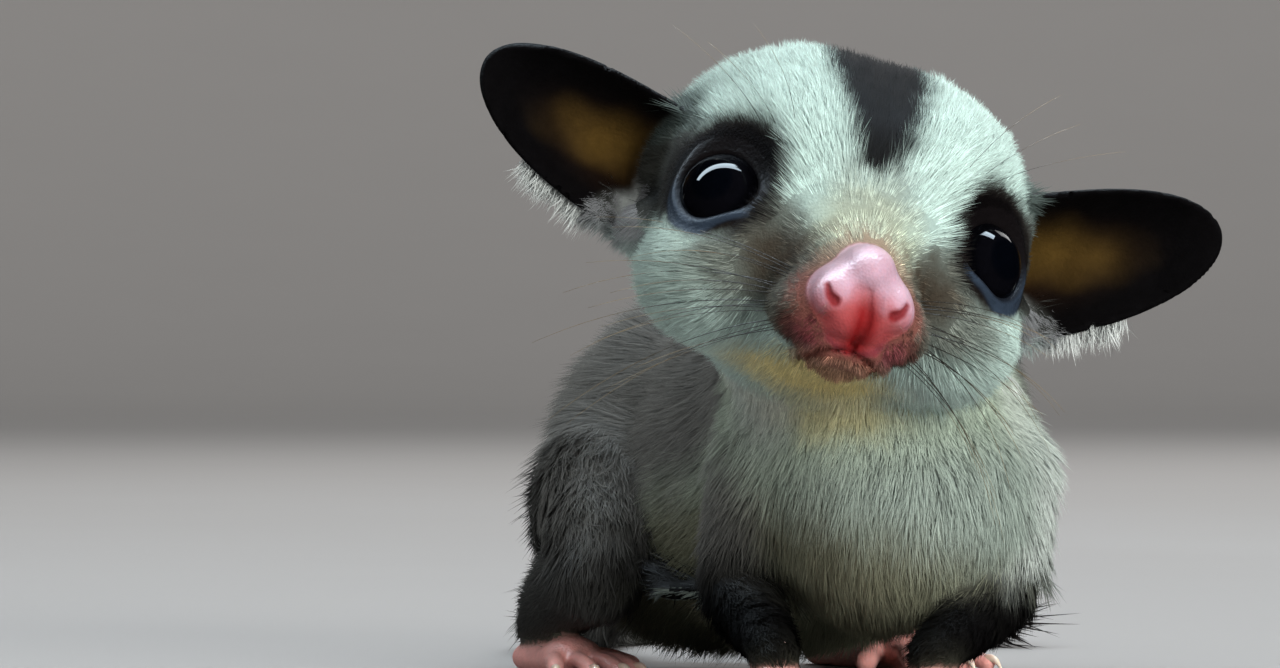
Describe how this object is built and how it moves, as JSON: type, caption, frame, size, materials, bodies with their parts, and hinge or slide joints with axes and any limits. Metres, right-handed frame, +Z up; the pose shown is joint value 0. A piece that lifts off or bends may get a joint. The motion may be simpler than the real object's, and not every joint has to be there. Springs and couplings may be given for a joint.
{
  "type": "sugar glider joey",
  "caption": "Life-size still model of a young sugar glider crouching on all fours, head raised and tilted, ears spread, tail curled on the floor.",
  "frame": {"origin": "on the floor, under the middle of the whole animal's box", "axes": "+Z up, the face looks along -Y, the animal's left side is towards +X"},
  "size_m": [0.049, 0.113, 0.0432],
  "materials": {
    "pale_coat": "short dense cool-cream fur with dark stripe and eye rings",
    "grey_coat": "short dense grey fur, cream below",
    "dark_coat": "short brown-black fur",
    "pink_skin": "moist bare pink skin",
    "ear_skin": "thin bare brown-black skin, amber inside the base",
    "eye": "wet glossy black"
  },
  "bodies": {
    "root": {"head": "pale_coat", "nose": "pink_skin", "neck": "grey_coat", "torso": "grey_coat", "tail_base": "grey_coat", "tail_middle": "grey_coat", "tail_end": "dark_coat", "eye_left": "eye", "ear_left": "ear_skin", "foreleg_left": "dark_coat", "hand_left": "pink_skin", "hindleg_left": "grey_coat", "foot_left": "pink_skin", "gliding_membrane_left": "dark_coat", "eye_right": "eye", "ear_right": "ear_skin", "foreleg_right": "dark_coat", "hand_right": "pink_skin", "hindleg_right": "grey_coat", "foot_right": "pink_skin", "gliding_membrane_right": "dark_coat"}
  },
  "joints": []
}
